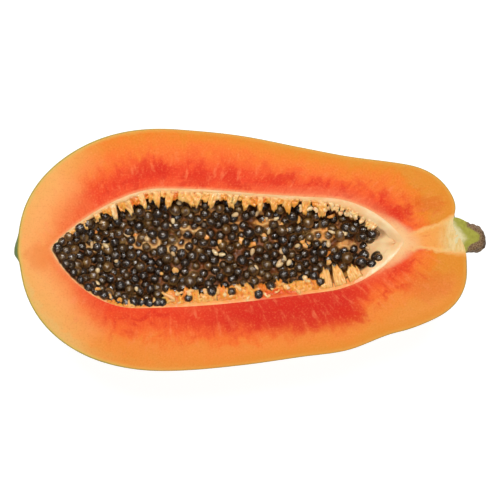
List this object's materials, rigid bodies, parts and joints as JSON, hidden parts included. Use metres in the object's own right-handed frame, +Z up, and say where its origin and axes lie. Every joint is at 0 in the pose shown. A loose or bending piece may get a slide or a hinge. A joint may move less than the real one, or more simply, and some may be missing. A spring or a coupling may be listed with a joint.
{
  "type": "papaya half",
  "caption": "Ripe papaya half cut lengthwise, resting on its round back with the cut face up, its cavity full of dark seeds and a short stub of stem.",
  "frame": {"origin": "under the middle of the half's bounding box, on the surface that it rests on", "axes": "+Z up out of the cut face, +X along the fruit towards its stem, +Y across the cut face"},
  "size_m": [0.2814, 0.144, 0.0705],
  "materials": {
    "papaya_flesh": "moist cut flesh, orange to red, inside a thin waxy yellow-green skin",
    "placenta": "moist, pale cream to orange, fibrous",
    "papaya_seeds": "wet, glossy, black to olive",
    "papaya_stem": "green cut core under brown netted bark"
  },
  "bodies": {
    "root": {"flesh": "papaya_flesh", "lining": "placenta", "seed_heap": "papaya_seeds", "stem": "papaya_stem"}
  },
  "joints": []
}
